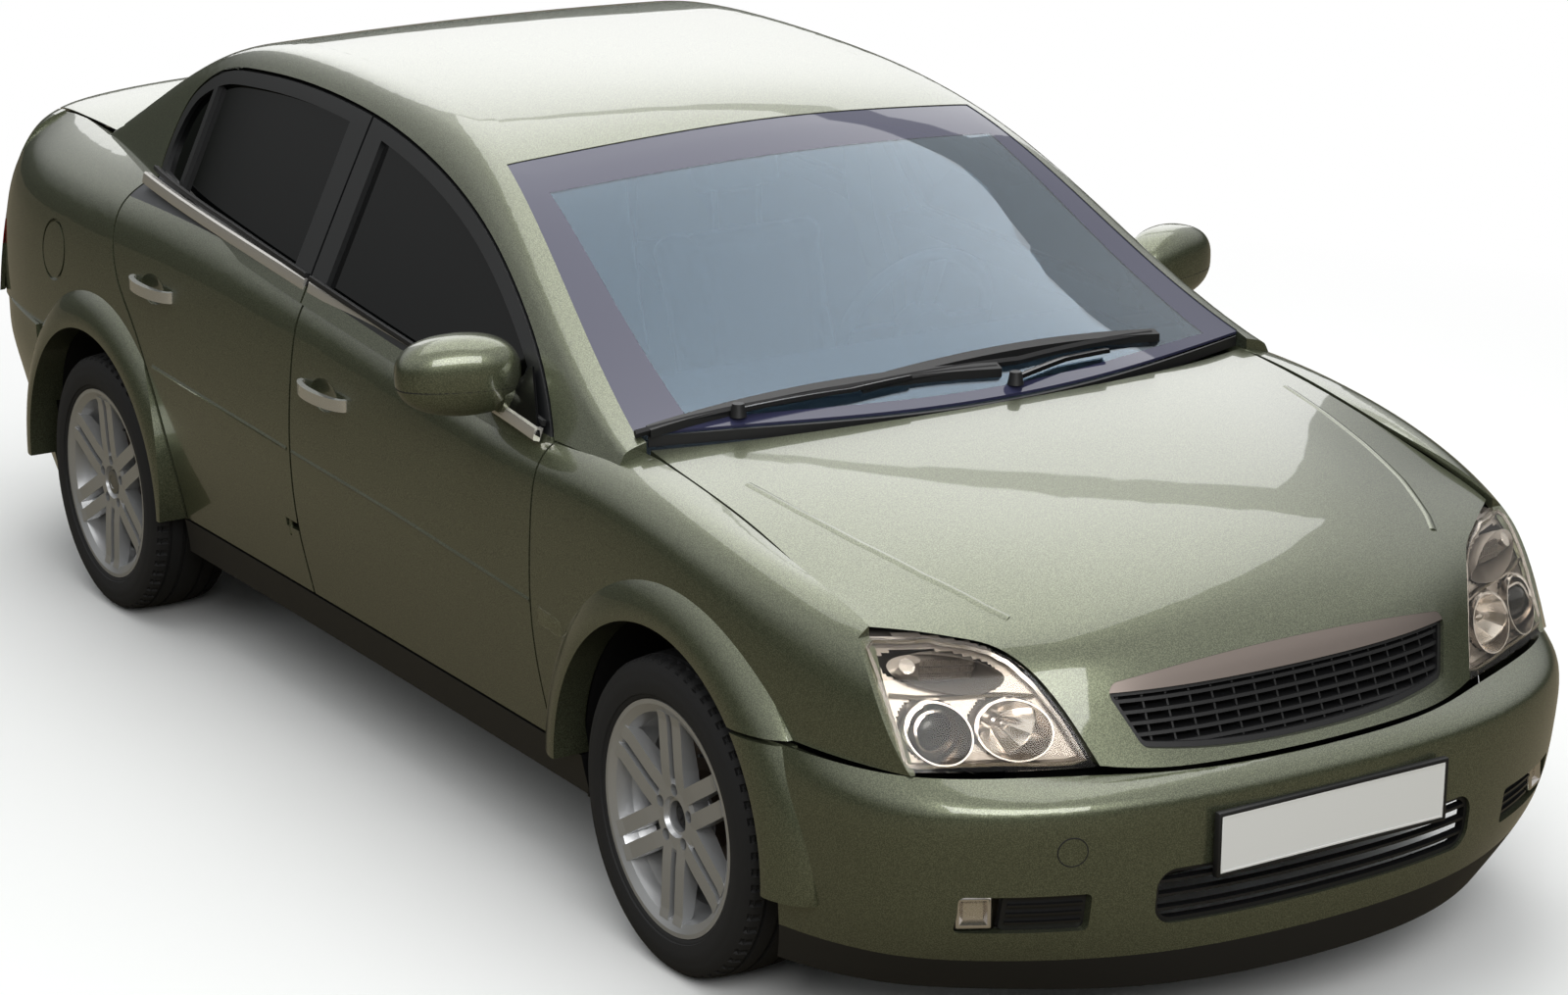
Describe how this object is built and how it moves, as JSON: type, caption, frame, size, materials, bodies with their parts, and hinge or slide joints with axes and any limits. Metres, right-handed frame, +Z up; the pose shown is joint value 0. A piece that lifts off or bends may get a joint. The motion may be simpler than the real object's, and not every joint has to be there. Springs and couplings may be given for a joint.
{
  "type": "four-door sedan car",
  "caption": "Four-door sedan car with opening doors, bonnet, boot lid and fuel flap, steered front wheels and rolling wheels.",
  "frame": {"origin": "on the ground at the middle of the car, half way along its length", "axes": "+X to the car's left, +Y to the rear, +Z up; the nose faces -Y"},
  "size_m": [2.028, 4.59, 1.4626],
  "materials": {
    "alloy": "painted silver",
    "black_plastic": "grained",
    "cast_iron": "as cast",
    "chrome": "polished",
    "clear_lens": "gloss",
    "cloth": "woven",
    "paint": "metallic gloss",
    "red_lens": "gloss",
    "screen_glass": "gloss",
    "steel": "satin black",
    "tinted_glass": "gloss",
    "tyre": "moulded"
  },
  "bodies": {
    "car_body": {"bumper_grilles": "black_plastic", "cowl_panel": "black_plastic", "dashboard": "black_plastic", "engine_block": "cast_iron", "exhaust": "steel", "fog_lamps": "clear_lens", "front_bumper": "paint", "front_lip": "black_plastic", "front_subframe": "steel", "headlamp_covers": "clear_lens", "headlamp_housings": "black_plastic", "rear_axle": "steel", "rear_bumper": "paint", "rear_window": "tinted_glass", "roof_panel": "paint", "seats": "cloth", "side_frame_left": "paint", "side_frame_right": "paint", "sill_trims": "black_plastic", "tail_lamps": "red_lens", "underbody": "black_plastic", "windscreen": "screen_glass", "wing_left": "paint", "wing_right": "paint", "wipers": "black_plastic"},
    "bonnet": {"bonnet": "paint", "grille_mesh": "black_plastic", "grille_bar": "chrome"},
    "boot_lid": {"boot_lid": "paint"},
    "fuel_flap": {"fuel_flap": "paint"},
    "steering_wheel": {"steering_wheel": "black_plastic"},
    "front_door_left": {"door_front_left": "paint", "glass_front_left": "tinted_glass", "handle_front_left": "chrome", "mirror_left": "paint"},
    "rear_door_left": {"door_rear_left": "paint", "glass_rear_left": "tinted_glass", "handle_rear_left": "chrome"},
    "knuckle_left": {"knuckle_left": "steel"},
    "wheel_front_left": {"tyre_front_left": "tyre", "rim_front_left": "alloy"},
    "wheel_rear_left": {"tyre_rear_left": "tyre", "rim_rear_left": "alloy"},
    "front_door_right": {"door_front_right": "paint", "glass_front_right": "tinted_glass", "handle_front_right": "chrome", "mirror_right": "paint"},
    "rear_door_right": {"door_rear_right": "paint", "glass_rear_right": "tinted_glass", "handle_rear_right": "chrome"},
    "knuckle_right": {"knuckle_right": "steel"},
    "wheel_front_right": {"tyre_front_right": "tyre", "rim_front_right": "alloy"},
    "wheel_rear_right": {"tyre_rear_right": "tyre", "rim_rear_right": "alloy"}
  },
  "joints": [
    {"name": "front_door_left_swing", "type": "hinge", "parent": "car_body", "child": "front_door_left", "pos_m": [0.848, -0.8265, 0.6], "axis": [0, 0, -1], "range_deg": [0, 60]},
    {"name": "rear_door_left_swing", "type": "hinge", "parent": "car_body", "child": "rear_door_left", "pos_m": [0.848, 0.28849, 0.6], "axis": [0, 0, -1], "range_deg": [0, 60]},
    {"name": "front_door_right_swing", "type": "hinge", "parent": "car_body", "child": "front_door_right", "pos_m": [-0.848, -0.8265, 0.6], "axis": [0, 0, 1], "range_deg": [0, 60]},
    {"name": "rear_door_right_swing", "type": "hinge", "parent": "car_body", "child": "rear_door_right", "pos_m": [-0.848, 0.28849, 0.6], "axis": [0, 0, 1], "range_deg": [0, 60]},
    {"name": "bonnet_swing", "type": "hinge", "parent": "car_body", "child": "bonnet", "pos_m": [0, -1.103, 0.985], "axis": [-1, 0, 0], "range_deg": [0, 58]},
    {"name": "boot_swing", "type": "hinge", "parent": "car_body", "child": "boot_lid", "pos_m": [0, 1.47, 1.13], "axis": [1, 0, 0], "range_deg": [0, 62]},
    {"name": "fuel_flap_swing", "type": "hinge", "parent": "car_body", "child": "fuel_flap", "pos_m": [-0.868, 1.524, 0.848], "axis": [0, 0, 1], "range_deg": [0, 85]},
    {"name": "steer_left", "type": "hinge", "parent": "car_body", "child": "knuckle_left", "pos_m": [0.715, -1.376, 0.205], "axis": [-0.1802, 0, 0.9836], "range_deg": [-35, 35]},
    {"name": "steer_right", "type": "hinge", "parent": "car_body", "child": "knuckle_right", "pos_m": [-0.715, -1.376, 0.205], "axis": [0.1802, 0, 0.9836], "range_deg": [-36, 36]},
    {"name": "steering_wheel_turn", "type": "hinge", "parent": "car_body", "child": "steering_wheel", "pos_m": [0.37, -0.37687, 0.905], "axis": [0, 0.9135, 0.4067], "range_deg": [-540, 540]},
    {"name": "roll_front_left", "type": "hinge", "parent": "knuckle_left", "child": "wheel_front_left", "pos_m": [0.7675, -1.376, 0.31716], "axis": [1, 0, 0], "continuous": true},
    {"name": "roll_rear_left", "type": "hinge", "parent": "car_body", "child": "wheel_rear_left", "pos_m": [0.7625, 1.324, 0.31716], "axis": [1, 0, 0], "continuous": true},
    {"name": "roll_front_right", "type": "hinge", "parent": "knuckle_right", "child": "wheel_front_right", "pos_m": [-0.7675, -1.376, 0.31716], "axis": [1, 0, 0], "continuous": true},
    {"name": "roll_rear_right", "type": "hinge", "parent": "car_body", "child": "wheel_rear_right", "pos_m": [-0.7625, 1.324, 0.31716], "axis": [1, 0, 0], "continuous": true}
  ],
  "couplings": [
    {"joint": "steer_right", "follows": "steer_left", "ratio": 1},
    {"joint": "steering_wheel_turn", "follows": "steer_left", "ratio": 15}
  ]
}
